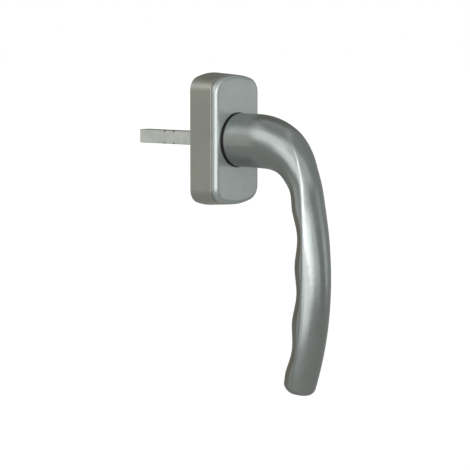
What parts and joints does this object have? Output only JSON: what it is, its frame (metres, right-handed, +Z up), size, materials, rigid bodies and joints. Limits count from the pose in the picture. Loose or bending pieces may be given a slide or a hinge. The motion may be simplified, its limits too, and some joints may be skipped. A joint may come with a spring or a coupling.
{
  "type": "tilt and turn window handle",
  "caption": "Lever handle on a rosette that turns a square spindle to lock, open or tilt a window; the sprung spindle slides to suit the sash depth.",
  "frame": {"origin": "on the spindle axis, in the plane of the rosette's rear mounting face", "axes": "+Y along the spindle out of the mounting face into the window, -Y towards the user, +Z up, and the lever hangs towards -Z"},
  "size_m": [0.0364, 0.1209, 0.1594],
  "materials": {
    "lever_metal": "satin, fine grain",
    "cover_metal": "satin, fine grain",
    "body_metal": "satin, fine grain, a little darker and warmer than the cover",
    "bush_plastic": "black, moulded",
    "washer_plastic": "natural, moulded",
    "cam_steel": "sintered, dull",
    "spring_steel": "blued, smooth",
    "ring_steel": "phosphated, dark",
    "plate_steel": "zinc plated",
    "screw_steel": "zinc plated",
    "spindle_steel": "drawn bar, zinc plated",
    "pin_steel": "ground",
    "coil_steel": "drawn wire"
  },
  "bodies": {
    "rosette": {"base_body": "body_metal", "neck_bush": "bush_plastic", "friction_washer": "washer_plastic", "leaf_springs": "spring_steel", "back_plate": "plate_steel", "plate_screws": "screw_steel"},
    "cover": {"cover_plate": "cover_metal"},
    "handle": {"lever": "lever_metal", "detent_cam": "cam_steel", "retaining_ring": "ring_steel", "spindle_spring": "coil_steel"},
    "spindle_bar": {"spindle": "spindle_steel", "spindle_pin": "pin_steel"}
  },
  "joints": [
    {"name": "handle_turn", "type": "hinge", "parent": "rosette", "child": "handle", "pos_m": [0, 0, 0], "axis": [0, -1, 0], "range_deg": [-180, 180], "deforming": ["leaf_springs"]},
    {"name": "cover_turn", "type": "hinge", "parent": "rosette", "child": "cover", "pos_m": [0, 0, 0], "axis": [0, -1, 0], "range_deg": [-90, 90]},
    {"name": "spindle_slide", "type": "slide", "parent": "handle", "child": "spindle_bar", "axis": [0, 1, 0], "range_m": [-0.013, 0], "stiffness_N_per_m": 200, "springref_m": 0.01, "deforming": ["spindle_spring"]}
  ]
}
